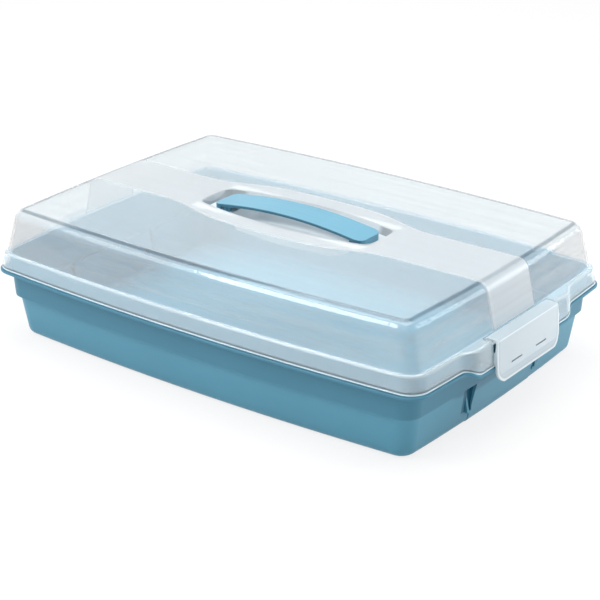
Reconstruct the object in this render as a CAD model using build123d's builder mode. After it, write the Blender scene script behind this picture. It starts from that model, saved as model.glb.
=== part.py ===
from build123d import *
import os
from math import radians, sqrt, tan

# Rectangular cake container: a deep tray, a clear domed cover with a carry
# handle let into its top, and two hinged clips that hook under the tray's rim.
# Millimetres. X runs along the length, Y along the width and Z up from the
# table, with the origin under the middle of the tray.

# The rim of the tray sets the plan: every other outline is an inset from it
rim_half_length = 215.0
rim_half_width = 147.5
rim_corner = 17.0
side_crown_radius = 2500.0
end_crown_radius = 1960.0

# Tray: insets are (at the ends, at the long sides)
floor_thickness = 2.2
tray_wall = 2.0
tray_height = 73.0
step_height = 36.0
foot_inset = (18.5, 15.8)
below_step_inset = (13.2, 10.8)
above_step_inset = (10.3, 7.9)
collar_inset = (7.8, 6.2)
foot_corner = 13.0
band_corner = 15.0
foot_radius = 7.0
floor_radius = 5.0
collar_radius = 0.7

# Rim ledge, which bulges out and dips at each end where a clip hooks on
ledge_top = 59.2
ledge_thickness = 2.2
ledge_edge_radius = 0.7
ledge_dip = 6.0
dip_inner = 61.0
dip_outer = 82.0
bulge_out = 3.8
bulge_tip = 69.0
bulge_root = 90.0
bulge_depth = 12.0
bulge_blend = 16.0

# Centre panel under each clip and the tapered pockets at its two edges
panel_half_width = 46.0
pocket_width = 10.0
pocket_foot_width = 3.0
pocket_foot_height = 13.0
pocket_depth = 4.0
pocket_radius = 1.2

# Cover
cover_wall = 1.6
skirt_gap = 1.0
skirt_inset = 0.2
skirt_lean = 3.6
skirt_radius = 3.0
bulge_lean = 2.0
cover_height = 111.0
wall_foot_inset = (7.4, 5.7)
wall_top_inset = (16.0, 11.2)
cover_corner = 12.0
top_radius = 10.0

# Recess for the hand in the cover's top: a shelf, then a deeper scoop
recess_end_room = 9.0
recess_draft = 1.8
scoop_end_room = 8.0
scoop_draft = 6.5
recess_end_crown = 2.0
recess_corner = 9.0
shelf_depth = 7.3
scoop_depth = 20.0
scoop_radius = 4.0

# Handle
handle_half_length = 75.0
handle_half_width = 15.0
handle_corner = 7.5
handle_rise = 4.8
handle_arch_radius = 420.0
handle_end_run = 23.0
handle_end_droop = 0.3
handle_thickness = 2.2
handle_lip_length = 8.0
handle_lip_wall = 2.0
handle_edge_radius = 0.7
foot_end_room = 11.0
foot_y = 9.5
foot_collar_radius = 3.6
foot_pin_radius = 2.3
foot_hole_clearance = 0.2
foot_barb_gap = 0.2
foot_barb_radius = 2.9
foot_barb_height = 2.4
foot_slot = 1.0

# Clips, hinged on a bar in a notch at each end of the cover
hinge_out = -1.0
hinge_height = 72.2
bar_radius = 1.4
bar_clearance = 0.1
barrel_radius = 2.6
barrel_mouth_angle = 100.0
notch_strip = 0.4
notch_half_width = 47.2
ear_wall = 1.8
ear_margin = 0.4
plate_clearance = 0.6
clip_side_gap = 1.0
clip_rim_gap = 0.8
clip_thickness = 2.0
clip_foot_height = 39.5
clip_crease_height = 46.0
clip_flare = 1.3
clip_corner = 12.0
clip_lean = 1.6
clip_bend_drop = 0.9
clip_bend_radius = 1.2
clip_neck_inset = 1.6
clip_neck_drop = 1.5
clip_flare_drop = 10.0
flange_depth = 2.0
flange_wall = 1.6
flange_gap = 0.8
hook_y = 18.0
hook_width = 16.0
hook_height = 3.6
hook_gap = 0.5
hook_undercut = 2.0
slit_height = 1.3

# Values that follow from the ones above
shoulder_height = tray_height + cover_wall
skirt_bottom = ledge_top + skirt_gap
shelf_height = cover_height - shelf_depth
handle_arch_reach = handle_half_length - handle_end_run
handle_lip_start = handle_half_length - handle_lip_length
foot_x = handle_half_length - foot_end_room
bulge_x = rim_half_length + bulge_out
hinge_x = rim_half_length + hinge_out
notch_x = rim_half_length - wall_foot_inset[0] + notch_strip
clip_half_width = notch_half_width - clip_side_gap
clip_inner_x = bulge_x + clip_rim_gap
clip_outer_x = clip_inner_x + clip_thickness
dipped_rim_underside = ledge_top - ledge_thickness - ledge_dip
hook_top = dipped_rim_underside - hook_gap
beyond = 40.0

# Recess outlines: half length, half width at the ends, half width at the middle
recess_mouth = (handle_half_length + recess_end_room, 20.0, 30.0)
recess_shelf = tuple(half - recess_draft for half in recess_mouth)
scoop_mouth = (foot_x - scoop_end_room, 20.0, 25.5)
scoop_floor = (scoop_mouth[0] - scoop_draft, 13.5, 19.5)


def grown(inset, amount):
    """The inset pair moved inwards by an amount."""
    return (inset[0] + amount, inset[1] + amount)


def crowned_outline(inset, corner):
    """Rounded rectangle with gently bowed sides, inset from the rim."""
    half_length = rim_half_length - inset[0]
    half_width = rim_half_width - inset[1]
    x = half_length
    y = half_width
    for _ in range(12):
        x = half_length - end_crown_radius + sqrt(end_crown_radius**2 - y**2)
        y = half_width - side_crown_radius + sqrt(side_crown_radius**2 - x**2)
    with BuildSketch() as outline:
        with BuildLine():
            ThreePointArc((-x, -y), (0, -half_width), (x, -y))
            ThreePointArc((x, -y), (half_length, 0), (x, y))
            ThreePointArc((x, y), (0, half_width), (-x, y))
            ThreePointArc((-x, y), (-half_length, 0), (-x, -y))
        make_face()
        fillet(outline.vertices(), corner)
    return outline.sketch


def bulged_outline(inset, corner, bulge_inset):
    """The crowned outline with the bulge for a clip at each end."""
    face_x = bulge_x - bulge_inset
    with BuildSketch() as outline:
        add(crowned_outline(inset, corner))
        for end in (1, -1):
            with BuildLine():
                Polyline(
                    (end * (face_x - bulge_depth), -bulge_root),
                    (end * face_x, -bulge_tip),
                    (end * face_x, bulge_tip),
                    (end * (face_x - bulge_depth), bulge_root),
                    close=True,
                )
            make_face()
        corners = outline.vertices().filter_by(
            lambda v: bulge_tip - 1 < abs(v.Y) < bulge_root
        )
        fillet(corners, bulge_blend)
    return outline.sketch


def below_waved_rim(level):
    """Side view of all that lies below the rim line, which dips at the clips."""
    far = rim_half_width + beyond
    low = level - ledge_dip
    middle = ((dip_inner + dip_outer) / 2, level - ledge_dip / 2)
    with BuildSketch() as region:
        with BuildLine():
            Line((-far, level), (-dip_outer, level))
            TangentArc((-dip_outer, level), (-middle[0], middle[1]), tangent=(1, 0))
            TangentArc((-dip_inner, low), (-middle[0], middle[1]), tangent=(-1, 0))
            Line((-dip_inner, low), (dip_inner, low))
            TangentArc((dip_inner, low), middle, tangent=(1, 0))
            TangentArc((dip_outer, level), middle, tangent=(-1, 0))
            Line((dip_outer, level), (far, level))
            Polyline((far, level), (far, -beyond), (-far, -beyond), (-far, level))
        make_face()
    return region.sketch


def barrel_outline(half_length, end_half_width, middle_half_width, growth):
    """Outline with bowed sides and ends for the hand recess."""
    x = half_length + growth
    y = end_half_width + growth
    middle = middle_half_width + growth
    with BuildSketch() as outline:
        with BuildLine():
            ThreePointArc((-x, -y), (0, -middle), (x, -y))
            ThreePointArc((x, -y), (x + recess_end_crown, 0), (x, y))
            ThreePointArc((x, y), (0, middle), (-x, y))
            ThreePointArc((-x, y), (-x - recess_end_crown, 0), (-x, -y))
        make_face()
        fillet(outline.vertices(), recess_corner)
    return outline.sketch


def hand_recess(growth):
    """The space of the hand recess; growth adds the cover's wall around it."""
    with BuildPart() as space:
        with BuildSketch(Plane.XY.offset(cover_height)):
            add(barrel_outline(*recess_mouth, growth))
        with BuildSketch(Plane.XY.offset(shelf_height - growth)):
            add(barrel_outline(*recess_shelf, growth))
        loft(ruled=True)
        with BuildSketch(Plane.XY.offset(shelf_height)):
            add(barrel_outline(*scoop_mouth, growth))
        with BuildSketch(Plane.XY.offset(cover_height - scoop_depth - growth)):
            add(barrel_outline(*scoop_floor, growth))
        loft(ruled=True)
        fillet(space.faces().sort_by(Axis.Z)[0].edges(), scoop_radius + growth)
    return space.part


# Tray: a drafted lower part, a step, an upper band that runs up into the
# collar inside the cover, and the rim ledge

with BuildPart() as end_panel:
    with BuildSketch(Plane.XY):
        add(crowned_outline(foot_inset, foot_corner))
    with BuildSketch(Plane.XY.offset(step_height)):
        add(crowned_outline(above_step_inset, band_corner))
    loft(ruled=True)
    fillet(end_panel.faces().sort_by(Axis.Z)[0].edges(), foot_radius)
    with Locations((0, 0, step_height / 2)):
        Box(3 * rim_half_length, 2 * panel_half_width, 2 * step_height, mode=Mode.INTERSECT)

with BuildPart() as rim_ledge:
    with BuildSketch(Plane.XY):
        add(bulged_outline((0, 0), rim_corner, 0))
    extrude(amount=tray_height)
    with BuildSketch(Plane.YZ):
        add(below_waved_rim(ledge_top))
    extrude(amount=2 * rim_half_length, both=True, mode=Mode.INTERSECT)
    with BuildSketch(Plane.YZ):
        add(below_waved_rim(ledge_top - ledge_thickness))
    extrude(amount=2 * rim_half_length, both=True, mode=Mode.SUBTRACT)
    top_and_underside = rim_ledge.faces().filter_by(lambda f: abs(f.normal_at().Z) > 0.5)
    sides = rim_ledge.faces().filter_by(lambda f: abs(f.normal_at().Z) < 0.5)
    shared = [e for e in sides.edges() if e in top_and_underside.edges()]
    fillet(shared, ledge_edge_radius)

with BuildPart() as tray_space:
    with BuildSketch(Plane.XY.offset(floor_thickness)):
        add(crowned_outline(grown(foot_inset, tray_wall), foot_corner - tray_wall))
    with BuildSketch(Plane.XY.offset(step_height + tray_wall)):
        add(crowned_outline(grown(below_step_inset, tray_wall), band_corner - tray_wall))
    loft(ruled=True)
    fillet(tray_space.faces().sort_by(Axis.Z)[0].edges(), floor_radius)
    with BuildSketch(Plane.XY.offset(step_height + tray_wall)):
        add(crowned_outline(grown(above_step_inset, tray_wall), band_corner - tray_wall))
    with BuildSketch(Plane.XY.offset(tray_height)):
        add(crowned_outline(grown(collar_inset, tray_wall), band_corner - tray_wall))
    loft(ruled=True)


def pocket_outline(margin):
    """Side view of the tapered pocket beside the centre panel, near side."""
    edge = -panel_half_width + margin
    with BuildSketch() as outline:
        with BuildLine():
            Polyline(
                (edge, step_height + margin),
                (edge - pocket_width - 2 * margin, step_height + margin),
                (edge - pocket_foot_width - 2 * margin, pocket_foot_height - margin),
                (edge - margin, pocket_foot_height - margin),
                close=True,
            )
        make_face()
        fillet(outline.vertices(), pocket_radius)
    return outline.sketch


pocket_floor_x = rim_half_length - below_step_inset[0] - pocket_depth

with BuildPart() as pocket_backing:
    with BuildSketch(Plane.YZ.offset(pocket_floor_x - tray_wall)):
        add(pocket_outline(tray_wall))
    extrude(amount=pocket_depth)
    mirror(about=Plane.XZ)
    mirror(about=Plane.YZ)

with BuildPart() as pockets:
    with BuildSketch(Plane.YZ.offset(pocket_floor_x)):
        add(pocket_outline(0))
    extrude(amount=2 * pocket_depth + beyond)
    mirror(about=Plane.XZ)
    mirror(about=Plane.YZ)

with BuildPart() as tray:
    with BuildSketch(Plane.XY):
        add(crowned_outline(foot_inset, foot_corner))
    with BuildSketch(Plane.XY.offset(step_height)):
        add(crowned_outline(below_step_inset, band_corner))
    loft(ruled=True)
    fillet(tray.faces().sort_by(Axis.Z)[0].edges(), foot_radius)
    add(end_panel.part)
    with BuildSketch(Plane.XY.offset(step_height)):
        add(crowned_outline(above_step_inset, band_corner))
    with BuildSketch(Plane.XY.offset(tray_height)):
        add(crowned_outline(collar_inset, band_corner))
    loft(ruled=True)
    add(rim_ledge.part)
    add(tray_space.part, mode=Mode.SUBTRACT)
    fillet(tray.faces().sort_by(Axis.Z)[-1].edges(), collar_radius)
    add(pocket_backing.part)
    add(pockets.part, mode=Mode.SUBTRACT)
tray.part.label = "tray"


# Cover: the outer form, less the space inside it; its shoulder rests on the
# tray's collar
inner_skirt_foot = grown((skirt_inset, skirt_inset), cover_wall)
inner_skirt_top = grown((skirt_lean, skirt_lean), cover_wall)

with BuildPart() as cover_space:
    with BuildSketch(Plane.XY.offset(skirt_bottom - ledge_dip)):
        add(bulged_outline(inner_skirt_foot, rim_corner - cover_wall, skirt_inset + cover_wall))
    with BuildSketch(Plane.XY.offset(shoulder_height - cover_wall)):
        add(bulged_outline(inner_skirt_top, rim_corner - cover_wall, bulge_lean + cover_wall))
    loft(ruled=True)
    with Locations((notch_x + beyond, 0, 0), (-notch_x - beyond, 0, 0)):
        Box(
            2 * beyond,
            2 * (notch_half_width + ear_wall),
            2 * cover_height,
            mode=Mode.SUBTRACT,
        )
    with BuildSketch(Plane.XY.offset(shoulder_height - cover_wall)):
        add(crowned_outline(grown(wall_foot_inset, cover_wall), cover_corner - cover_wall))
    with BuildSketch(Plane.XY.offset(cover_height - cover_wall)):
        add(crowned_outline(grown(wall_top_inset, cover_wall), cover_corner - cover_wall))
    loft(ruled=True)
    fillet(cover_space.faces().sort_by(Axis.Z)[-1].edges(), top_radius - cover_wall)
    add(hand_recess(cover_wall), mode=Mode.SUBTRACT)

with BuildPart() as cover:
    with BuildSketch(Plane.XY.offset(skirt_bottom - ledge_dip)):
        add(bulged_outline((skirt_inset, skirt_inset), rim_corner, skirt_inset))
    with BuildSketch(Plane.XY.offset(shoulder_height)):
        add(bulged_outline((skirt_lean, skirt_lean), rim_corner, bulge_lean))
    loft(ruled=True)
    fillet(cover.faces().sort_by(Axis.Z)[-1].edges(), skirt_radius)
    with BuildSketch(Plane.XY.offset(shoulder_height)):
        add(crowned_outline(wall_foot_inset, cover_corner))
    with BuildSketch(Plane.XY.offset(cover_height)):
        add(crowned_outline(wall_top_inset, cover_corner))
    loft(ruled=True)
    fillet(cover.faces().sort_by(Axis.Z)[-1].edges(), top_radius)
    add(hand_recess(0), mode=Mode.SUBTRACT)
    add(cover_space.part, mode=Mode.SUBTRACT)
    with BuildSketch(Plane.YZ):
        add(below_waved_rim(skirt_bottom))
    extrude(amount=2 * rim_half_length, both=True, mode=Mode.SUBTRACT)
    with Locations((notch_x + beyond, 0, shoulder_height), (-notch_x - beyond, 0, shoulder_height)):
        Box(2 * beyond, 2 * notch_half_width, 2 * ledge_top, mode=Mode.SUBTRACT)
    for end in (1, -1):
        with Locations((end * hinge_x, 0, hinge_height)):
            Cylinder(bar_radius, 2 * notch_half_width + ear_wall, rotation=(90, 0, 0))
        with Locations(
            *[
                (end * hinge_x, side * (notch_half_width + ear_wall / 2), hinge_height)
                for side in (1, -1)
            ]
        ):
            Cylinder(bar_radius + ear_margin, ear_wall, rotation=(90, 0, 0))
            Box(
                2 * (bar_radius + ear_margin),
                ear_wall,
                hinge_height - skirt_bottom,
                align=(Align.CENTER, Align.CENTER, Align.MAX),
            )
    with Locations(
        *[
            (sx * foot_x, sy * foot_y, shelf_height)
            for sx in (1, -1)
            for sy in (1, -1)
        ]
    ):
        Cylinder(foot_pin_radius + foot_hole_clearance, 3 * cover_wall, mode=Mode.SUBTRACT)
cover.part.label = "cover"


# Handle: a thin arched strap with a lip round each end and four snap feet
arch_top = cover_height + handle_rise
arch_sag = handle_arch_radius - sqrt(handle_arch_radius**2 - handle_arch_reach**2)
arch_end_slope = handle_arch_reach / (handle_arch_radius - arch_sag)
handle_end = arch_top - arch_sag - handle_end_run * arch_end_slope - handle_end_droop


def under_arch(drop, end_x, low):
    """Side view of the strap's top line moved down, closed off at a low level."""
    top = arch_top - drop
    with BuildSketch() as region:
        with BuildLine():
            arch = ThreePointArc(
                (-handle_arch_reach, top - arch_sag), (0, top), (handle_arch_reach, top - arch_sag)
            )
            right = TangentArc(arch @ 1, (end_x, handle_end - drop), tangent=arch % 1)
            left = TangentArc(arch @ 0, (-end_x, handle_end - drop), tangent=(arch % 0) * -1)
            Polyline(right @ 1, (end_x, low), (-end_x, low), left @ 1)
        make_face()
    return region.sketch


with BuildPart() as handle_space:
    with BuildSketch(Plane.XZ):
        add(under_arch(handle_thickness, handle_half_length - handle_lip_wall, -beyond))
    extrude(amount=2 * handle_half_width, both=True)
    with BuildSketch(Plane.XY):
        RectangleRounded(
            2 * (handle_half_length - handle_lip_wall),
            2 * (handle_half_width - handle_lip_wall),
            handle_corner - handle_lip_wall,
        )
        Rectangle(2 * handle_lip_start, 4 * handle_half_width)
    extrude(amount=2 * cover_height, mode=Mode.INTERSECT)

with BuildPart() as foot_collars:
    with Locations(
        *[(sx * foot_x, sy * foot_y, shelf_height) for sx in (1, -1) for sy in (1, -1)]
    ):
        Cylinder(
            foot_collar_radius,
            arch_top - shelf_height,
            align=(Align.CENTER, Align.CENTER, Align.MIN),
        )
    with BuildSketch(Plane.XZ):
        add(under_arch(handle_thickness / 2, handle_half_length - handle_lip_wall / 2, -beyond))
    extrude(amount=handle_half_width, both=True, mode=Mode.INTERSECT)

with BuildPart() as handle:
    with BuildSketch(Plane.XZ):
        add(under_arch(0, handle_half_length, shelf_height))
    extrude(amount=handle_half_width, both=True)
    with BuildSketch(Plane.XY):
        RectangleRounded(2 * handle_half_length, 2 * handle_half_width, handle_corner)
    extrude(amount=2 * cover_height, mode=Mode.INTERSECT)
    upper_faces = handle.faces().filter_by(lambda f: f.normal_at().Z > 0.5)
    sides = handle.faces().filter_by(lambda f: abs(f.normal_at().Z) < 0.5)
    shared = [e for e in sides.edges() if e in upper_faces.edges()]
    fillet(shared, handle_edge_radius)
    add(handle_space.part, mode=Mode.SUBTRACT)
    add(foot_collars.part)
    for sx in (1, -1):
        for sy in (1, -1):
            with Locations((sx * foot_x, sy * foot_y, shelf_height)):
                Cylinder(
                    foot_pin_radius,
                    cover_wall + foot_barb_gap + foot_barb_height,
                    align=(Align.CENTER, Align.CENTER, Align.MAX),
                )
            with Locations((sx * foot_x, sy * foot_y, shelf_height - cover_wall - foot_barb_gap)):
                Cone(
                    foot_pin_radius * 0.7,
                    foot_barb_radius,
                    foot_barb_height,
                    align=(Align.CENTER, Align.CENTER, Align.MAX),
                )
    with Locations(*[(sx * foot_x, 0, shelf_height) for sx in (1, -1)]):
        Box(
            foot_slot,
            4 * foot_y,
            2 * (cover_wall + foot_barb_gap + foot_barb_height),
            align=(Align.CENTER, Align.CENTER, Align.MAX),
            mode=Mode.SUBTRACT,
        )
handle.part.label = "handle"


# Clips: a split barrel that snaps down over the bar, under a plate that lies in
# the cover's notch; a flap with side flanges and a flared lip hangs from the
# plate's outer edge, and two hooks on it catch under the rim ledge. The plate's
# inner edge clears the notch as it swings down round the bar
barrel_bore = bar_radius + bar_clearance
mouth_depth = barrel_radius + bar_clearance
mouth_half_width = mouth_depth * tan(radians(barrel_mouth_angle / 2))
clip_top = hinge_height + barrel_radius
plate_turn_radius = hinge_x - notch_x - plate_clearance
plate_x = hinge_x - sqrt(plate_turn_radius**2 - barrel_radius**2)
bend_x = clip_outer_x - clip_lean
bend_z = clip_top - clip_bend_drop
flange_foot = ledge_top - ledge_dip + flange_gap
hook_tip_x = bulge_x - hook_undercut

with BuildPart() as clip_right:
    with BuildSketch(Plane.XZ) as side_view:
        with BuildLine():
            Polyline(
                (plate_x, clip_top),
                (hinge_x, clip_top),
                (bend_x, bend_z),
                (clip_outer_x, clip_crease_height),
                (clip_outer_x + clip_flare, clip_foot_height),
                (clip_inner_x + clip_flare, clip_foot_height),
                (clip_inner_x, clip_crease_height),
                (bend_x - clip_thickness, bend_z - clip_thickness),
                (hinge_x, clip_top - clip_thickness),
                (plate_x, clip_top - clip_thickness),
                close=True,
            )
        make_face()
        bend = side_view.vertices().filter_by(lambda v: v.X > hinge_x + 1 and v.Y > bend_z - 0.1)
        fillet(bend, clip_bend_radius)
        creases = side_view.vertices().filter_by(
            lambda v: abs(v.Y - clip_crease_height) < 0.1
        )
        fillet(creases, 3)
        feet = side_view.vertices().filter_by(lambda v: v.Y < clip_foot_height + 1)
        fillet(feet, 0.8)
        with Locations((hinge_x, hinge_height)):
            Circle(barrel_radius)
            Circle(barrel_bore, mode=Mode.SUBTRACT)
        with BuildLine():
            Polyline(
                (hinge_x, hinge_height),
                (hinge_x - mouth_half_width, hinge_height - mouth_depth),
                (hinge_x + mouth_half_width, hinge_height - mouth_depth),
                close=True,
            )
        make_face(mode=Mode.SUBTRACT)
    extrude(amount=clip_half_width, both=True)
    with BuildSketch(Plane.YZ) as front_view:
        with BuildLine():
            Polyline(
                (-clip_half_width, clip_foot_height),
                (clip_half_width, clip_foot_height),
                (clip_half_width, clip_top - clip_flare_drop),
                (clip_half_width - clip_neck_inset, clip_top - clip_neck_drop),
                (clip_half_width - clip_neck_inset, clip_top + clip_thickness),
                (clip_neck_inset - clip_half_width, clip_top + clip_thickness),
                (clip_neck_inset - clip_half_width, clip_top - clip_neck_drop),
                (-clip_half_width, clip_top - clip_flare_drop),
                close=True,
            )
        make_face()
        fillet(front_view.vertices().group_by(Axis.Y)[0], clip_corner)
        shoulders = front_view.vertices().filter_by(
            lambda v: abs(v.Y - clip_top + clip_flare_drop) < 0.1
        )
        fillet(shoulders, clip_neck_inset / 2)
    extrude(amount=2 * bulge_x, mode=Mode.INTERSECT)
    for side in (1, -1):
        with BuildSketch(Plane.XZ.offset(side * (clip_half_width - flange_wall / 2))):
            with BuildLine():
                Polyline(
                    (bend_x - clip_thickness / 2, clip_top - clip_flare_drop),
                    (clip_inner_x - flange_depth, clip_top - clip_flare_drop),
                    (clip_inner_x - flange_depth, flange_foot),
                    (clip_inner_x + clip_thickness / 4, flange_foot),
                    close=True,
                )
            make_face()
        extrude(amount=flange_wall / 2, both=True)
    for side in (1, -1):
        with BuildSketch(Plane.XZ.offset(side * hook_y)):
            with BuildLine():
                Polyline(
                    (clip_inner_x + clip_thickness / 2, hook_top),
                    (hook_tip_x, hook_top),
                    (hook_tip_x, hook_top - hook_height / 3),
                    (clip_inner_x, hook_top - hook_height),
                    (clip_inner_x + clip_thickness / 2, hook_top - hook_height),
                    close=True,
                )
            make_face()
        extrude(amount=hook_width / 2, both=True)
        with Locations((clip_inner_x + clip_thickness / 2, side * hook_y, hook_top)):
            Box(
                2 * clip_thickness,
                hook_width,
                slit_height,
                align=(Align.CENTER, Align.CENTER, Align.MIN),
                mode=Mode.SUBTRACT,
            )
clip_right.part.label = "clip_right"

with BuildPart() as clip_left:
    add(clip_right.part.rotate(Axis.Z, 180))
clip_left.part.label = "clip_left"

os.makedirs("parts", exist_ok=True)
export_step(tray.part, "parts/tray.step")
export_step(cover.part, "parts/cover.step")
export_step(handle.part, "parts/handle.step")
export_step(clip_right.part, "parts/clip_right.step")
export_step(clip_left.part, "parts/clip_left.step")
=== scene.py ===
"""Rectangular cake container: blue tray, clear domed cover with a frosted band,
carry handle and two milky clips, on a pale floor under soft studio light.
Metres, in the frame of the construction: X along the length, Z up."""

import bpy
from mathutils import Matrix, Vector

# Camera, solved from the outline in the photograph
CAMERA_PLACE = (0.8228, -1.1006, 0.6270)
CAMERA_TARGET = (0.00281, 0.00207, 0.03578)
CAMERA_LENS = 108.08

# Softboxes: place, target, width, length, way of the length, watts, seen in
# gloss. The two edge ones give the bright line along the near top edge
ACROSS = (0, 1, 0)
EDGE_TARGET = (0.13, -0.136, 0.108)
EDGE_WAY = (0.0, 0.79, 0.62)
SOFTBOXES = {
    "overhead softbox": ((-0.1, 0.3, 1.9), (0, 0, 0), 2.2, 1.8, ACROSS, 33.0, True),
    "edge softbox": ((-0.65, -0.96, 1.15), EDGE_TARGET, 0.5, 0.9, EDGE_WAY, 10.0, True),
    "long edge softbox": ((-1.15, -0.96, 1.15), EDGE_TARGET, 0.5, 0.9, EDGE_WAY, 3.5, True),
    "right softbox": ((0.58, 0.5, 0.25), (0.21, 0.06, 0.04), 0.3, 0.3, ACROSS, 1.9, False),
}
AMBIENT = 0.42

# Floor, and how much of its own white it shows to the camera, gloss and glass
FLOOR_WHITE = (0.93, 0.93, 0.93, 1.0)
FLOOR_GLOW = 0.8
FLOOR_SIZE = 12.0
FLOOR_HEIGHT = -0.0002

# Tray and handle: linear colours, and how strongly the deeper ones cover. The rim, pocket and
# gap colours and the handle's side colour are painted shade; the flow streaks also use the side
# colour
TRAY_BLUE = (0.098, 0.305, 0.42, 1.0)
TRAY_BLUE_DEEP = (0.09, 0.285, 0.395, 1.0)
RIM_SHADE = (0.66, 0.72, 0.75, 1.0)
POCKET_SHADE = (0.28, 0.48, 0.54, 1.0)
GAP_SHADE = (0.02, 0.045, 0.06, 1.0)
GAP_DEPTH = 0.45
HANDLE_BLUE = (0.15, 0.385, 0.52, 1.0)
HANDLE_BLUE_DEEP = (0.135, 0.355, 0.485, 1.0)
HANDLE_SIDE_SHADE_AND_STREAK_BLUE = (0.045, 0.15, 0.22, 1.0)
LONG_SIDE_SHADE_DEPTH = 0.9
SIDEWAYS_SHADE_DEPTH = 0.45
STREAK_DEPTH = 0.12

# Cover: tints of the clear plastic, whites and greys of its haze, and the
# share of haze that each region adds. The greys are painted shade and dark
# lines, and the shoulder and foot shares painted highlights and shade
CLEAR_TINT = (0.955, 0.962, 0.962, 1.0)
WALL_TINT = (0.957, 0.946, 0.94, 1.0)
PAINTED_TOP_LINE_GREY = (0.42, 0.48, 0.52, 1.0)
SHADOW_TINT = (0.93, 0.945, 0.95, 1.0)
HAZE_WHITE = (0.60, 0.66, 0.685, 1.0)
WALL_WHITE = (0.60, 0.61, 0.615, 1.0)
BAND_WHITE = (0.545, 0.57, 0.585, 1.0)
SKIRT_WHITE = (0.68, 0.79, 0.85, 1.0)
RECESS_WHITE = (0.70, 0.75, 0.78, 1.0)
RECESS_SHADE_GREY = (0.24, 0.26, 0.28, 1.0)
FOOT_SHADE_GREY = (0.10, 0.13, 0.15, 1.0)
HAZE_SHARE = 0.19
BAND_SHARE = 0.2
BAND_EDGE_SHARE = 0.3
RECESS_SHARE = 0.4
SKIRT_SHARE = 0.07
SHOULDER_HIGHLIGHT_SHARE = 0.16
FOOT_HIGHLIGHT_SHARE = 0.35
FOOT_SHADE_SHARE = 0.4

# Clips: linear colours, of which the top, lip and highlight ones are painted shade and a
# painted highlight, then the flap's outline and crease
MILKY_WHITE = (0.68, 0.765, 0.815, 1.0)
MILKY_SHADE = (0.64, 0.73, 0.785, 1.0)
MILKY_TOP_SHADE = (0.50, 0.585, 0.635, 1.0)
MILKY_HIGHLIGHT = (0.80, 0.87, 0.91, 1.0)
MILKY_LIP_SHADE = (0.50, 0.575, 0.625, 1.0)
CLIP_HALF_WIDTH = 0.0462
CLIP_FOOT = 0.0395
CLIP_CORNER = 0.012
CLIP_CREASE = 0.046

# Frosted band across the cover: half width along the length
BAND_LENGTH = 0.22
BAND_WIDTH = 0.06
BAND_POINTS = (
    (0.0, 0.0475),
    (0.030, 0.0470),
    (0.055, 0.0440),
    (0.075, 0.0385),
    (0.090, 0.0335),
    (0.105, 0.0305),
    (0.130, 0.0300),
    (0.220, 0.0300),
)

# Heights where the cover's shoulder ends and where its top edge starts to bend
SHOULDER = 0.0746
TOP_EDGE_FOOT = 0.098

# Hand recess in the cover's top. RECESS_END is where the painted shade past the
# handle starts and is full, and MASK_EDGE is how soft the edges of these masks are
RECESS_HALF_LENGTH = 0.0845
RECESS_HALF_WIDTH = 0.0305
RECESS_TOP = 0.1102
RECESS_END = (0.066, 0.071)
MASK_EDGE = 0.0004

# Line where the skirt ends, which dips at the clips, and heights above it: each
# four are where a tone starts, is full, begins to fade and is gone
RIM_LINE = 0.0602
RIM_DIP = 0.006
RIM_DIP_INNER = 0.061
RIM_DIP_OUTER = 0.082
# The gap and shade heights and the foot's shade line place painted shade; the foot's highlight
# heights place a painted highlight
GAP_HEIGHTS = (-0.0012, -0.001, -0.0008, 0.0002)
SHADE_HEIGHTS = (-0.026, -0.023, -0.0013, -0.0009)
FOOT_SHADE_HEIGHTS = (0.001, 0.0014, 0.0021, 0.0025)
FOOT_HIGHLIGHT_HEIGHTS = (0.0003, 0.0011)

# Tapered pockets beside the tray's end panels
WALL_FOOT_X = 0.1965
WALL_LEAN = 0.147
POCKET_FLOOR_X = 0.1978
POCKET_SIDES = (0.0452, 0.0457, 0.0575, 0.0580)
POCKET_HEIGHTS = (0.0125, 0.0129, 0.0362, 0.0366)


# Node helpers


def socket(sockets, name, kind):
    """The first of a node's sockets with that name and data type."""
    return next(s for s in sockets if s.name == name and s.type == kind)


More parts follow.
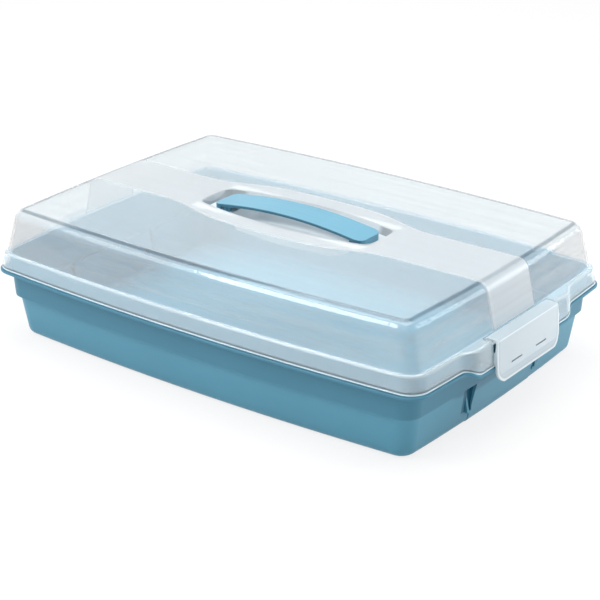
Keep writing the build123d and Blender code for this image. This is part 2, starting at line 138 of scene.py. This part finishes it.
class Tree:
    """Adds nodes to one tree, each linked from the sockets or values given."""

    def __init__(self, tree):
        self.tree = tree

    def node(self, kind, **settings):
        made = self.tree.nodes.new(kind)
        for name, value in settings.items():
            setattr(made, name, value)
        return made

    def feed(self, target, source):
        if isinstance(source, bpy.types.NodeSocket):
            self.tree.links.new(source, target)
        else:
            target.default_value = source

    def math(self, operation, a, b=0.0, clamp=False):
        made = self.node("ShaderNodeMath", operation=operation, use_clamp=clamp)
        self.feed(made.inputs[0], a)
        self.feed(made.inputs[1], b)
        return made.outputs[0]

    def plus(self, a, b, clamp=False):
        return self.math("ADD", a, b, clamp)

    def minus(self, a, b):
        return self.math("SUBTRACT", a, b)

    def times(self, a, b):
        return self.math("MULTIPLY", a, b)

    def absolute(self, a):
        return self.math("ABSOLUTE", a)

    def remap(self, value, low, high, to_low=0.0, to_high=1.0, smooth=False):
        made = self.node("ShaderNodeMapRange")
        made.interpolation_type = "SMOOTHSTEP" if smooth else "LINEAR"
        for k, source in enumerate((value, low, high, to_low, to_high)):
            self.feed(made.inputs[k], source)
        return made.outputs[0]

    def fade(self, value, low, high):
        """One up to the low limit, none from the high one."""
        return self.remap(value, low, high, 1.0, 0.0)

    def between(self, share, a, b):
        """A number from a to b, by the share."""
        return self.remap(share, 0.0, 1.0, a, b)

    def plateau(self, value, limits):
        """None below the first limit, one from the second to the third, none
        again above the fourth."""
        start, full, fading, gone = limits
        return self.times(self.remap(value, start, full), self.fade(value, fading, gone))

    def noise(self, place, scale, detail=2.0, roughness=0.5):
        made = self.node("ShaderNodeTexNoise")
        self.feed(made.inputs["Vector"], place)
        self.feed(made.inputs["Scale"], scale)
        self.feed(made.inputs["Detail"], detail)
        self.feed(made.inputs["Roughness"], roughness)
        return made.outputs[0]

    def blend(self, share, a, b, way="MIX"):
        made = self.node("ShaderNodeMix", data_type="RGBA", blend_type=way)
        self.feed(made.inputs[0], share)
        self.feed(socket(made.inputs, "A", "RGBA"), a)
        self.feed(socket(made.inputs, "B", "RGBA"), b)
        return socket(made.outputs, "Result", "RGBA")

    def tint(self, share, a, b):
        """Colour a multiplied by colour b, by the share."""
        return self.blend(share, a, b, "MULTIPLY")

    def vector(self, x, y, z=0.0):
        made = self.node("ShaderNodeCombineXYZ")
        for k, source in enumerate((x, y, z)):
            self.feed(made.inputs[k], source)
        return made.outputs[0]

    def apart(self, vector):
        """The X, Y and Z of a vector."""
        made = self.node("ShaderNodeSeparateXYZ")
        self.feed(made.inputs[0], vector)
        return made.outputs

    def place(self):
        return self.node("ShaderNodeTexCoord").outputs["Object"]

    def normal(self):
        return self.node("ShaderNodeNewGeometry").outputs["Normal"]

    def mix_shader(self, share, a, b):
        made = self.node("ShaderNodeMixShader")
        for k, source in enumerate((share, a, b)):
            self.feed(made.inputs[k], source)
        return made.outputs[0]


def new_group(name, inputs, outputs):
    """A shader node group with named sockets, and its in and out nodes."""
    group = bpy.data.node_groups.new(name, "ShaderNodeTree")
    for direction, sockets in (("INPUT", inputs), ("OUTPUT", outputs)):
        for label, kind, value in sockets:
            made = group.interface.new_socket(
                label, in_out=direction, socket_type="NodeSocket" + kind
            )
            if value is not None:
                made.default_value = value
    tree = Tree(group)
    return tree, tree.node("NodeGroupInput"), tree.node("NodeGroupOutput")


def place_group(tree, name, **values):
    """Puts the node group of that name into a tree and feeds its inputs."""
    made = tree.node("ShaderNodeGroup")
    made.node_tree = bpy.data.node_groups[name]
    for label, value in values.items():
        tree.feed(made.inputs[label.replace("_", " ")], value)
    return made.outputs


def new_material(name):
    """An empty material, the helper for its nodes, and its output node."""
    material = bpy.data.materials.new(name)
    material.use_nodes = True
    material.node_tree.nodes.clear()
    tree = Tree(material.node_tree)
    return material, tree, tree.node("ShaderNodeOutputMaterial")


# Effects, each a node group that is built once


def moulded_skin_group():
    """Faint orange peel, slow waviness and flow marks of injection moulding."""
    t, given, out = new_group(
        "moulded skin",
        [
            ("Colour", "Color", (0.5, 0.5, 0.5, 1)),
            ("Deep colour", "Color", (0.4, 0.4, 0.4, 1)),
            ("Roughness", "Float", 0.35),
            ("Peel scale", "Float", 900.0),
            ("Peel depth", "Float", 0.08),
        ],
        [("Colour", "Color", None), ("Roughness", "Float", None), ("Normal", "Vector", None)],
    )
    place = t.place()
    peel = t.noise(place, given.outputs["Peel scale"], 2.0)
    flow = t.noise(place, 9.0, 3.0, 0.6)
    specks = t.noise(place, 2600.0, 1.0)
    deep, colour = given.outputs["Deep colour"], given.outputs["Colour"]
    t.feed(out.inputs["Colour"], t.blend(t.remap(flow, 0.35, 0.65), deep, colour))
    rougher = t.plus(t.remap(peel, 0.3, 0.7, -0.03, 0.03), t.remap(flow, 0.3, 0.7, -0.02, 0.02))
    t.feed(out.inputs["Roughness"], t.plus(given.outputs["Roughness"], rougher, clamp=True))
    bump = t.node("ShaderNodeBump")
    t.feed(bump.inputs["Strength"], given.outputs["Peel depth"])
    t.feed(bump.inputs["Distance"], 0.0002)
    t.feed(bump.inputs["Height"], t.plus(peel, t.times(specks, 0.25)))
    t.feed(out.inputs["Normal"], bump.outputs["Normal"])


def frosted_band_group():
    """Masks of the frosted band that runs across the cover, of the band's edge,
    and of the hand recess."""
    t, given, out = new_group(
        "frosted band",
        [("Edge width", "Float", 0.0007)],
        [("Band", "Float", None), ("Edge", "Float", None), ("Recess", "Float", None)],
    )
    place = t.apart(t.place())
    along, across = t.absolute(place["X"]), t.absolute(place["Y"])
    curve = t.node("ShaderNodeFloatCurve")
    points = curve.mapping.curves[0].points
    ends = [(x / BAND_LENGTH, y / BAND_WIDTH) for x, y in BAND_POINTS]
    points[0].location = ends[0]
    points[1].location = ends[-1]
    for x, y in ends[1:-1]:
        points.new(x, y)
    curve.mapping.update()
    t.feed(curve.inputs["Value"], t.math("DIVIDE", along, BAND_LENGTH))
    inward = t.minus(t.times(curve.outputs[0], BAND_WIDTH), across)
    band = t.remap(inward, -MASK_EDGE / 2, MASK_EDGE / 2)
    above = t.remap(place["Z"], SHOULDER, SHOULDER + MASK_EDGE)
    t.feed(out.inputs["Band"], t.times(band, above))
    offset = t.absolute(t.math("DIVIDE", inward, given.outputs["Edge width"]))
    t.feed(out.inputs["Edge"], t.times(t.fade(offset, 0.4, 1.0), above))
    beyond_end = t.remap(along, RECESS_HALF_LENGTH, RECESS_HALF_LENGTH + MASK_EDGE)
    beyond_side = t.remap(across, RECESS_HALF_WIDTH, RECESS_HALF_WIDTH + MASK_EDGE)
    over_top = t.remap(place["Z"], RECESS_TOP - MASK_EDGE, RECESS_TOP)
    outside = t.math("MAXIMUM", t.math("MAXIMUM", beyond_end, beyond_side), over_top)
    t.feed(out.inputs["Recess"], t.minus(1.0, outside))


def rim_line_group():
    """Height above the line where the skirt ends, which dips at the clips."""
    t, _, out = new_group("rim line", [], [("Height", "Float", None)])
    place = t.apart(t.place())
    across = t.absolute(place["Y"])
    dip = t.remap(across, RIM_DIP_INNER, RIM_DIP_OUTER, RIM_DIP, 0.0, smooth=True)
    t.feed(out.inputs["Height"], t.minus(place["Z"], t.minus(RIM_LINE, dip)))


def outer_face_group():
    """One on faces turned away from the object's middle, none on its inside."""
    t, _, out = new_group("outer face", [], [("Share", "Float", None)])
    dot = t.node("ShaderNodeVectorMath", operation="DOT_PRODUCT")
    t.feed(dot.inputs[0], t.place())
    t.feed(dot.inputs[1], t.normal())
    t.feed(out.inputs["Share"], t.remap(dot.outputs["Value"], 0.0, 0.02))


def flow_lines_group():
    """Noise drawn out along the walls: lines that run round the object."""
    t, given, out = new_group(
        "flow lines", [("Fineness", "Float", 200.0)], [("Lines", "Float", None)]
    )
    slow, fine = 1.2, given.outputs["Fineness"]
    place = t.apart(t.place())
    on_end = t.remap(t.absolute(t.apart(t.normal())["X"]), 0.5, 0.7)
    along = t.times(place["X"], t.between(on_end, slow, fine))
    across = t.times(place["Y"], t.between(on_end, fine, slow))
    drawn_out = t.vector(along, across, t.times(place["Z"], fine))
    t.feed(out.inputs["Lines"], t.noise(drawn_out, 1.0, 2.5, 0.6))


# Masks that a material makes in its own tree


def pocket_inside(t):
    """One inside the tapered pockets beside each end panel, where little light
    comes in."""
    place = t.apart(t.place())
    out_along = t.absolute(place["X"])
    wall = t.plus(t.times(place["Z"], WALL_LEAN), WALL_FOOT_X)
    sunk = t.fade(t.minus(out_along, wall), -0.0006, -0.0003)
    outer = t.remap(out_along, POCKET_FLOOR_X - 0.0008, POCKET_FLOOR_X - 0.0005)
    beside = t.plateau(t.absolute(place["Y"]), POCKET_SIDES)
    level = t.plateau(place["Z"], POCKET_HEIGHTS)
    return t.times(t.times(sunk, outer), t.times(beside, level))


def clip_outline(t, place):
    """Distance past the clip's rounded outline, negative within it."""
    past_side = t.minus(t.absolute(place["Y"]), CLIP_HALF_WIDTH - CLIP_CORNER)
    past_foot = t.minus(CLIP_FOOT + CLIP_CORNER, place["Z"])
    corner = t.vector(t.math("MAXIMUM", past_side, 0.0), t.math("MAXIMUM", past_foot, 0.0))
    away = t.node("ShaderNodeVectorMath", operation="LENGTH")
    t.feed(away.inputs[0], corner)
    inside = t.math("MINIMUM", t.math("MAXIMUM", past_side, past_foot), 0.0)
    return t.minus(t.plus(away.outputs["Value"], inside), CLIP_CORNER)


def seen_ray(t):
    """One for rays that the camera, gloss or clear plastic sees along."""
    path = t.node("ShaderNodeLightPath")
    seen = t.math("MAXIMUM", path.outputs["Is Camera Ray"], path.outputs["Is Glossy Ray"])
    return t.math("MAXIMUM", seen, path.outputs["Is Transmission Ray"])


# Materials


def principled(t, ior, **values):
    """A Principled shader with its own sockets set by name."""
    surface = t.node("ShaderNodeBsdfPrincipled")
    surface.inputs["IOR"].default_value = ior
    for label, value in values.items():
        surface.inputs[label.replace("_", " ")].default_value = value
    return surface


def wear_skin(t, surface, look, tone, out):
    """Feeds a shader the tone and the moulded skin's gloss and relief."""
    t.feed(surface.inputs["Base Color"], tone)
    t.feed(surface.inputs["Roughness"], look["Roughness"])
    t.feed(surface.inputs["Normal"], look["Normal"])
    t.feed(out.inputs["Surface"], surface.outputs[0])


def moulded_plastic(name, colour, deep, roughness, peel_depth, under_rim=False, edge=None):
    """Opaque satin plastic that light soaks into a little. With under_rim, the
    gap under the cover's skirt, the band below it and the pockets get painted
    shade. Given an edge colour, the sides and underside get it as painted shade,
    and the top has faint flow streaks of it along its length."""
    material, t, out = new_material(name)
    look = place_group(
        t,
        "moulded skin",
        Colour=colour,
        Deep_colour=deep,
        Roughness=roughness,
        Peel_scale=850.0,
        Peel_depth=peel_depth,
    )
    surface = principled(
        t,
        1.49,
        Specular_IOR_Level=0.3,
        Subsurface_Weight=0.15,
        Subsurface_Radius=(0.6, 1.0, 1.2),
        Subsurface_Scale=0.002,
    )
    tone = look["Colour"]
    if under_rim:
        height = place_group(t, "rim line")["Height"]
        # Painted shade: a dark line in the gap under the skirt, a darker band under the rim,
        # and darker pocket insides
        tone = t.blend(t.times(t.plateau(height, GAP_HEIGHTS), GAP_DEPTH), tone, GAP_SHADE)
        outer = place_group(t, "outer face")["Share"]
        tone = t.tint(t.times(t.plateau(height, SHADE_HEIGHTS), outer), tone, RIM_SHADE)
        tone = t.tint(pocket_inside(t), tone, POCKET_SHADE)
    if edge:
        facing = t.apart(t.normal())
        # Painted shade: long sides and steep or downward faces take the darker side colour; the
        # flow streaks use it too
        long_side_shade = t.times(t.remap(t.absolute(facing["Y"]), 0.45, 0.75), LONG_SIDE_SHADE_DEPTH)
        sideways_shade = t.times(t.fade(facing["Z"], 0.2, 0.6), SIDEWAYS_SHADE_DEPTH)
        lines = place_group(t, "flow lines", Fineness=420.0)["Lines"]
        streaks = t.remap(lines, 0.5, 0.75, 0.0, STREAK_DEPTH)
        deeper = t.math("MAXIMUM", t.math("MAXIMUM", long_side_shade, sideways_shade), streaks)
        tone = t.blend(deeper, tone, edge)
    wear_skin(t, surface, look, tone, out)
    return material


def clear_cover_plastic():
    """Clear plastic with a faint haze, which the band and the recess have more of.
    Its top edge, recess ends, shoulder and foot carry painted dark lines, shade
    and highlights. Lamps shine through it."""
    material, t, out = new_material("clear cover plastic")
    look = place_group(
        t,
        "moulded skin",
        Colour=CLEAR_TINT,
        Deep_colour=CLEAR_TINT,
        Roughness=0.035,
        Peel_scale=160.0,
        Peel_depth=0.003,
    )
    mask = place_group(t, "frosted band")
    height = place_group(t, "rim line")["Height"]
    place = t.apart(t.place())
    upward = t.absolute(t.apart(t.normal())["Z"])

    # Regions: the top edge's bend, whose start gets a painted dark line, the walls, and the
    # shoulder and skirt
    bend_start = t.plateau(upward, (0.86, 0.93, 0.985, 0.9995))
    high_up = t.remap(place["Z"], TOP_EDGE_FOOT, TOP_EDGE_FOOT + 0.002)
    painted_top_line = t.times(bend_start, high_up)
    low_down = t.fade(place["Z"], SHOULDER, SHOULDER + 0.001)
    on_wall = t.fade(upward, 0.3, 0.45)
    lines = place_group(t, "flow lines", Fineness=110.0)["Lines"]

    # Clear plastic, rougher in the band, with a slight ripple off the bends
    clear = principled(t, 1.53, Transmission_Weight=1.0)
    on_dome = t.times(on_wall, t.minus(1.0, low_down))
    tint = t.blend(on_dome, look["Colour"], WALL_TINT)
    # Painted dark line where the top edge starts to bend: the clear plastic is greyer there
    t.feed(clear.inputs["Base Color"], t.blend(painted_top_line, tint, PAINTED_TOP_LINE_GREY))
    rough = t.remap(mask["Band"], 0.0, 1.0, look["Roughness"], 0.36)
    t.feed(clear.inputs["Roughness"], rough)
    off_bends = t.minus(1.0, t.plateau(upward, (0.2, 0.3, 0.99, 0.999)))
    ripple = t.node("ShaderNodeBump")
    t.feed(ripple.inputs["Strength"], t.times(off_bends, t.between(low_down, 0.06, 0.03)))
    t.feed(ripple.inputs["Distance"], 0.0006)
    t.feed(ripple.inputs["Height"], lines)
    t.feed(ripple.inputs["Normal"], look["Normal"])
    t.feed(clear.inputs["Normal"], ripple.outputs["Normal"])

    # Colour of the haze
    white = t.blend(low_down, t.blend(on_wall, HAZE_WHITE, WALL_WHITE), SKIRT_WHITE)
    white = t.blend(mask["Band"], white, BAND_WHITE)
    white = t.blend(mask["Recess"], white, RECESS_WHITE)
    # Painted shade: grey haze on the recess's steep walls past the handle
    past_handle = t.remap(t.absolute(place["X"]), *RECESS_END)
    recess_shade = t.times(past_handle, t.remap(upward, 0.8, 0.95, 0.7, 0.0))
    white = t.blend(t.times(mask["Recess"], recess_shade), white, RECESS_SHADE_GREY)
    outer = place_group(t, "outer face")["Share"]
    # Painted shade: a dark grey line of haze just above the skirt's lower edge
    foot_shade_line = t.times(t.plateau(height, FOOT_SHADE_HEIGHTS), outer)
    haze = principled(t, 1.5, Roughness=0.5)
    t.feed(haze.inputs["Base Color"], t.blend(foot_shade_line, white, FOOT_SHADE_GREY))

    # Share of the haze, which flow lines vary
    flat = t.remap(upward, 0.97, 0.999)
    calm = t.times(t.between(flat, 0.3, 0.12), t.between(low_down, 1.0, 0.4))
    varied = t.plus(t.times(t.remap(lines, 0.3, 0.7, -1.0, 1.0), calm), 1.0)
    # Less haze on the painted dark line at the top edge
    share = t.times(t.times(varied, HAZE_SHARE), t.between(painted_top_line, 1.0, 0.3))
    share = t.plus(share, t.times(mask["Band"], BAND_SHARE))
    share = t.plus(share, t.times(mask["Edge"], BAND_EDGE_SHARE))
    share = t.plus(share, t.times(mask["Recess"], RECESS_SHARE))
    # Painted highlight: more white haze along the shoulder's bend
    shoulder_highlight = t.times(t.plateau(upward, (0.25, 0.5, 0.8, 0.97)), low_down)
    share = t.plus(share, t.times(shoulder_highlight, SHOULDER_HIGHLIGHT_SHARE))
    share = t.plus(share, t.times(low_down, SKIRT_SHARE))
    streaked = t.times(on_wall, t.between(low_down, 1.0, 0.25))
    fine_lines = place_group(t, "flow lines", Fineness=260.0)["Lines"]
    share = t.plus(share, t.times(streaked, t.remap(fine_lines, 0.42, 0.68, 0.015, 0.095)))
    # Painted highlight: a white line of haze along the skirt's lower edge
    share = t.plus(share, t.remap(height, *FOOT_HIGHLIGHT_HEIGHTS, FOOT_HIGHLIGHT_SHARE, 0.0))
    share = t.plus(share, t.times(foot_shade_line, FOOT_SHADE_SHARE), clamp=True)
    body = t.mix_shader(share, clear.outputs[0], haze.outputs[0])

    # Lamps shine through, so the shadow rays see it as a thin tinted film
    through = t.node("ShaderNodeBsdfTransparent")
    through.inputs["Color"].default_value = SHADOW_TINT
    in_shadow = t.node("ShaderNodeLightPath").outputs["Is Shadow Ray"]
    t.feed(out.inputs["Surface"], t.mix_shader(in_shadow, body, through.outputs[0]))
    return material


def milky_clip_plastic():
    """Natural milky plastic: light scatters in it and some passes through. Its top,
    lip and flap border carry painted shade and painted highlights.
    """
    material, t, out = new_material("milky clip plastic")
    look = place_group(
        t,
        "moulded skin",
        Colour=MILKY_WHITE,
        Deep_colour=MILKY_SHADE,
        Roughness=0.34,
        Peel_scale=700.0,
        Peel_depth=0.06,
    )
    surface = principled(
        t,
        1.49,
        Subsurface_Weight=0.6,
        Subsurface_Radius=(1.0, 1.0, 1.0),
        Subsurface_Scale=0.003,
        Alpha=0.86,
    )
    place = t.apart(t.place())
    facing = t.apart(t.normal())
    upward = facing["Z"]
    on_face = t.remap(t.absolute(facing["X"]), 0.5, 0.8)
    outline = clip_outline(t, place)

    # Painted shade on the top, a painted highlight along the bend, and painted shade on the lip
    # below the crease
    tone = t.blend(t.remap(upward, 0.75, 0.9), look["Colour"], MILKY_TOP_SHADE)
    tone = t.blend(t.plateau(upward, (0.25, 0.40, 0.70, 0.85)), tone, MILKY_HIGHLIGHT)
    lip = t.remap(place["Z"], CLIP_CREASE, CLIP_CREASE + 0.001, 0.5, 0.0)
    tone = t.blend(t.times(on_face, lip), tone, MILKY_LIP_SHADE)

    # A painted highlight for the raised border round the flap, with a line of painted shade
    # inside it
    inner_line = t.times(on_face, t.plateau(outline, (-0.0037, -0.0031, -0.0027, -0.0021)))
    tone = t.blend(t.times(inner_line, 0.6), tone, MILKY_LIP_SHADE)
    border = t.times(on_face, t.remap(outline, -0.0022, -0.0016))
    tone = t.blend(border, tone, MILKY_HIGHLIGHT)
    wear_skin(t, surface, look, tone, out)
    return material


# Studio


def pale_floor():
    """White ground that keeps the object's shadow."""
    material, t, out = new_material("pale floor")
    diffuse = t.node("ShaderNodeBsdfDiffuse")
    diffuse.inputs["Color"].default_value = FLOOR_WHITE
    white = t.node("ShaderNodeEmission")
    white.inputs["Color"].default_value = (1.0, 1.0, 1.0, 1.0)
    white.inputs["Strength"].default_value = 1.0
    glow = t.times(seen_ray(t), FLOOR_GLOW)
    t.feed(out.inputs["Surface"], t.mix_shader(glow, diffuse.outputs[0], white.outputs[0]))
    bpy.ops.mesh.primitive_plane_add(size=FLOOR_SIZE, location=(0, 0, FLOOR_HEIGHT))
    floor = bpy.context.object
    floor.name = "floor"
    floor.data.materials.append(material)


def studio_world():
    """Soft ambient light; the camera, gloss and glass see a white studio."""
    world = bpy.data.worlds.new("white studio")
    bpy.context.scene.world = world
    world.use_nodes = True
    world.node_tree.nodes.clear()
    t = Tree(world.node_tree)
    background = t.node("ShaderNodeBackground")
    background.inputs["Color"].default_value = (1.0, 1.0, 1.0, 1.0)
    t.feed(background.inputs["Strength"], t.between(seen_ray(t), AMBIENT, 1.0))
    out = t.node("ShaderNodeOutputWorld")
    t.feed(out.inputs["Surface"], background.outputs[0])


def softbox(name, place, target, width, length, long_way, power, in_gloss):
    """Rectangular lamp aimed at the target, its length along long_way."""
    lamp = bpy.data.lights.new(name, "AREA")
    lamp.shape = "RECTANGLE"
    lamp.size = width
    lamp.size_y = length
    lamp.energy = power
    holder = bpy.data.objects.new(name, lamp)
    bpy.context.scene.collection.objects.link(holder)
    back = (Vector(place) - Vector(target)).normalized()
    across = Vector(long_way).cross(back).normalized()
    along = back.cross(across)
    turn = Matrix((across, along, back)).transposed()
    holder.matrix_world = Matrix.Translation(place) @ turn.to_4x4()
    holder.visible_glossy = in_gloss


def photo_camera():
    """Camera at the photograph's viewing direction."""
    data = bpy.data.cameras.new("photo camera")
    data.lens = CAMERA_LENS
    data.sensor_width = 36.0
    data.clip_start = 0.05
    data.clip_end = 50.0
    camera = bpy.data.objects.new("photo camera", data)
    bpy.context.scene.collection.objects.link(camera)
    camera.location = CAMERA_PLACE
    aim = Vector(CAMERA_TARGET) - Vector(CAMERA_PLACE)
    camera.rotation_euler = aim.to_track_quat("-Z", "Y").to_euler()
    bpy.context.scene.camera = camera


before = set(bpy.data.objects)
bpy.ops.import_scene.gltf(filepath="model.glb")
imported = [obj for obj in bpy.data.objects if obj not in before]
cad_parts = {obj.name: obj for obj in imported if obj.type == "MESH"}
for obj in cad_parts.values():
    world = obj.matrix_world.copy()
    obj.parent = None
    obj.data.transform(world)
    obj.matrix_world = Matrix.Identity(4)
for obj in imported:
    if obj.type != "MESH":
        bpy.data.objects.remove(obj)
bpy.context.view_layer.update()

moulded_skin_group()
frosted_band_group()
rim_line_group()
outer_face_group()
flow_lines_group()
milky = milky_clip_plastic()
finishes = {
    "tray": moulded_plastic(
        "blue tray plastic",
        colour=TRAY_BLUE,
        deep=TRAY_BLUE_DEEP,
        roughness=0.36,
        peel_depth=0.10,
        under_rim=True,
    ),
    "handle": moulded_plastic(
        "light blue handle plastic",
        colour=HANDLE_BLUE,
        deep=HANDLE_BLUE_DEEP,
        roughness=0.32,
        peel_depth=0.08,
        edge=HANDLE_SIDE_SHADE_AND_STREAK_BLUE,
    ),
    "cover": clear_cover_plastic(),
    "clip_right": milky,
    "clip_left": milky,
}
for node, material in finishes.items():
    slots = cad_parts[node].data.materials
    slots.clear()
    slots.append(material)

pale_floor()
studio_world()
for name, settings in SOFTBOXES.items():
    softbox(name, *settings)
photo_camera()
bpy.context.scene.view_settings.view_transform = "Standard"
